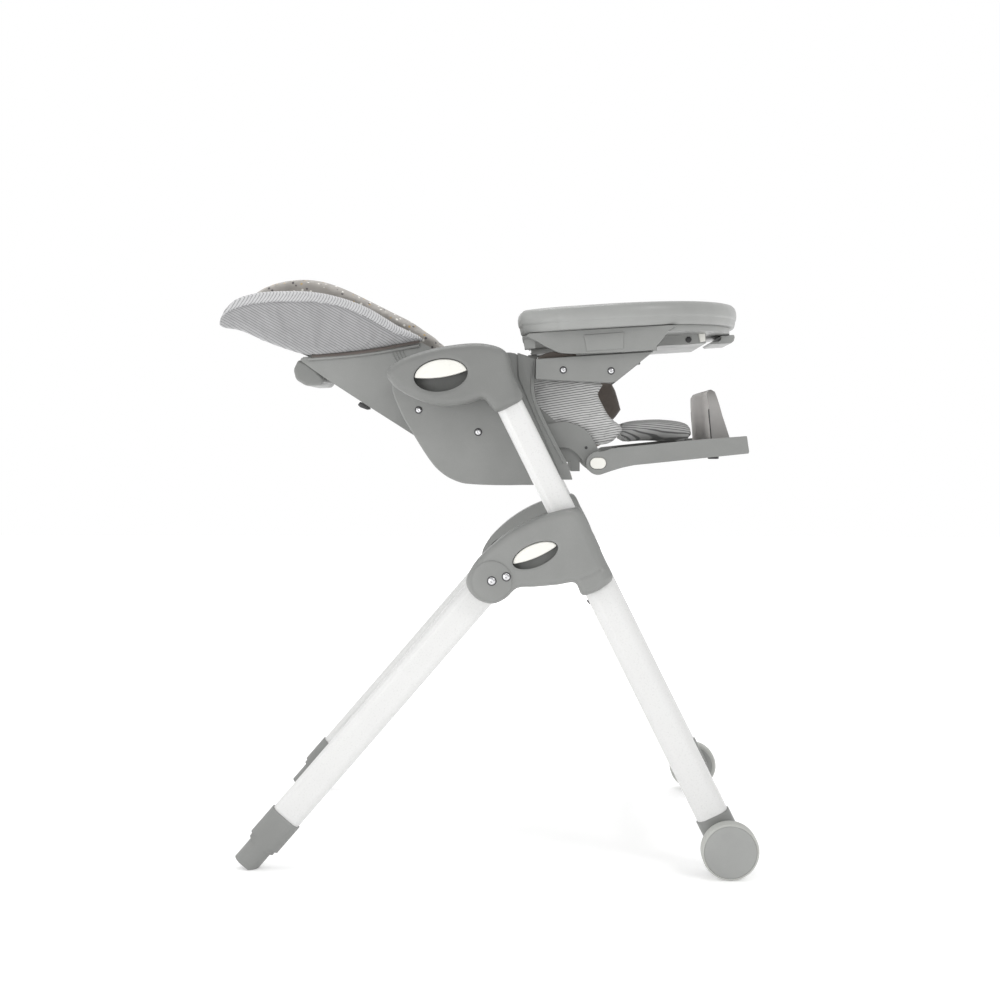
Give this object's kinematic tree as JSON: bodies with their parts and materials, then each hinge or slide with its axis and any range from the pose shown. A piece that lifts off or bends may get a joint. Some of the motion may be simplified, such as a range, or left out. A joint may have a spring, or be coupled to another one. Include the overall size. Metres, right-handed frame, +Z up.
{
  "type": "reclining folding baby high chair",
  "caption": "Baby high chair on a folding A-frame with front wheels, a height-adjusting reclining padded seat, tray and tilting leg rest.",
  "frame": {"origin": "on the floor under the middle of the chair's bounding box", "axes": "+X forward, towards the front wheels and foot plate, +Y to the sitter's left, +Z up"},
  "size_m": [0.808, 0.585, 0.887],
  "materials": {
    "grey_plastic": "satin moulded",
    "dark_plastic": "satin moulded",
    "tray_plastic": "smooth satin moulded",
    "white_plastic": "smooth",
    "white_steel": "powder coat",
    "bright_steel": "plated",
    "tyre_rubber": "matt",
    "striped_fabric": "woven stripe",
    "taupe_fabric": "woven",
    "webbing": "flat woven"
  },
  "bodies": {
    "front_frame": {"front_leg_left": "white_steel", "front_leg_right": "white_steel", "front_crossbar": "white_steel", "hub_left": "grey_plastic", "hub_right": "grey_plastic", "wheel_socket_left": "grey_plastic", "wheel_socket_right": "grey_plastic", "front_axles": "bright_steel", "frame_fasteners": "bright_steel"},
    "rear_frame": {"rear_leg_left": "white_steel", "rear_leg_right": "white_steel", "rear_foot_left": "grey_plastic", "rear_foot_right": "grey_plastic", "rear_crossbar": "white_steel"},
    "fold_lever_left": {"fold_lever_left": "white_plastic"},
    "fold_lever_right": {"fold_lever_right": "white_plastic"},
    "front_wheel_left": {"wheel_left": "grey_plastic", "tyre_left": "tyre_rubber", "wheel_cap_left": "grey_plastic"},
    "front_wheel_right": {"wheel_right": "grey_plastic", "tyre_right": "tyre_rubber", "wheel_cap_right": "grey_plastic"},
    "carriage": {"upper_tube_left": "white_steel", "upper_tube_right": "white_steel", "tube_plugs": "grey_plastic", "housing_left": "grey_plastic", "housing_right": "grey_plastic", "seat_shell": "grey_plastic", "side_cover_left": "grey_plastic", "side_cover_right": "grey_plastic", "front_flanges": "grey_plastic", "arm_rail_left": "grey_plastic", "arm_rail_right": "grey_plastic", "seat_fasteners": "bright_steel", "seat_pad": "taupe_fabric", "side_pad_left": "striped_fabric", "side_pad_right": "striped_fabric", "lap_harness": "webbing", "harness_buckle": "dark_plastic", "crotch_guard": "taupe_fabric", "leg_rest_brackets": "grey_plastic"},
    "height_lever_left": {"height_lever_left": "white_plastic"},
    "height_lever_right": {"height_lever_right": "white_plastic"},
    "buckle_button": {"buckle_button": "tray_plastic"},
    "backrest": {"back_shell": "grey_plastic", "head_board": "grey_plastic", "back_pad": "striped_fabric", "head_insert": "taupe_fabric", "shoulder_straps": "webbing"},
    "recline_handle": {"recline_handle": "grey_plastic"},
    "tray_base": {"tray_carrier": "tray_plastic", "tray_skirts": "grey_plastic"},
    "tray": {"tray": "tray_plastic"},
    "tray_lever": {"tray_lever": "tray_plastic"},
    "leg_rest": {"leg_rest": "grey_plastic", "calf_pad": "striped_fabric"},
    "tilt_button_left": {"tilt_button_left": "white_plastic"},
    "tilt_button_right": {"tilt_button_right": "white_plastic"},
    "foot_plate": {"foot_plate": "grey_plastic", "foot_knob": "dark_plastic"}
  },
  "joints": [
    {"name": "rear_fold", "type": "hinge", "parent": "front_frame", "child": "rear_frame", "pos_m": [0.0174, 0, 0.4333], "axis": [0, -1, 0], "range_deg": [0, 66]},
    {"name": "wheel_spin_left", "type": "hinge", "parent": "front_frame", "child": "front_wheel_left", "pos_m": [0.3625, 0.28, 0.0415], "axis": [0, 1, 0], "continuous": true},
    {"name": "wheel_spin_right", "type": "hinge", "parent": "front_frame", "child": "front_wheel_right", "pos_m": [0.3625, -0.28, 0.0415], "axis": [0, 1, 0], "continuous": true},
    {"name": "fold_release_left", "type": "slide", "parent": "front_frame", "child": "fold_lever_left", "axis": [-0.3907, 0, 0.9205], "range_m": [0, 0.008], "stiffness_N_per_m": 900},
    {"name": "fold_release_right", "type": "slide", "parent": "front_frame", "child": "fold_lever_right", "axis": [-0.3907, 0, 0.9205], "range_m": [0, 0.008], "stiffness_N_per_m": 900},
    {"name": "seat_height", "type": "slide", "parent": "front_frame", "child": "carriage", "axis": [-0.4446, 0, 0.8957], "range_m": [-0.15, 0]},
    {"name": "height_release_left", "type": "slide", "parent": "carriage", "child": "height_lever_left", "axis": [-0.1392, 0, 0.9903], "range_m": [0, 0.006], "stiffness_N_per_m": 900},
    {"name": "height_release_right", "type": "slide", "parent": "carriage", "child": "height_lever_right", "axis": [-0.1392, 0, 0.9903], "range_m": [0, 0.006], "stiffness_N_per_m": 900},
    {"name": "buckle_press", "type": "slide", "parent": "carriage", "child": "buckle_button", "axis": [-1, 0, 0], "range_m": [0, 0.003], "stiffness_N_per_m": 700},
    {"name": "recline", "type": "hinge", "parent": "carriage", "child": "backrest", "pos_m": [-0.0056, 0, 0.648], "axis": [0, 1, 0], "range_deg": [0, 45]},
    {"name": "recline_release", "type": "slide", "parent": "backrest", "child": "recline_handle", "axis": [-0.8107, 0, 0.5855], "range_m": [0, 0.008], "stiffness_N_per_m": 900},
    {"name": "tray_slide", "type": "slide", "parent": "carriage", "child": "tray_base", "axis": [0.9983, 0, 0.0576], "range_m": [-0.01, 0.04]},
    {"name": "tray_lift", "type": "slide", "parent": "tray_base", "child": "tray", "axis": [-0.0576, 0, 0.9983], "range_m": [0, 0.1]},
    {"name": "tray_release", "type": "slide", "parent": "tray_base", "child": "tray_lever", "axis": [-0.9983, 0, -0.0576], "range_m": [0, 0.006], "stiffness_N_per_m": 700},
    {"name": "leg_rest_tilt", "type": "hinge", "parent": "carriage", "child": "leg_rest", "pos_m": [0.173, 0, 0.6014], "axis": [0, 1, 0], "range_deg": [0, 70]},
    {"name": "foot_plate_slide", "type": "slide", "parent": "leg_rest", "child": "foot_plate", "axis": [0.996, 0, 0.0889], "range_m": [0, 0.018]},
    {"name": "tilt_release_left", "type": "slide", "parent": "leg_rest", "child": "tilt_button_left", "axis": [0, -1, 0], "range_m": [0, 0.003], "stiffness_N_per_m": 700},
    {"name": "tilt_release_right", "type": "slide", "parent": "leg_rest", "child": "tilt_button_right", "axis": [0, 1, 0], "range_m": [0, 0.003], "stiffness_N_per_m": 700}
  ],
  "couplings": [
    {"joint": "fold_release_right", "follows": "fold_release_left", "ratio": 1},
    {"joint": "height_release_right", "follows": "height_release_left", "ratio": 1},
    {"joint": "tilt_release_right", "follows": "tilt_release_left", "ratio": 1}
  ]
}
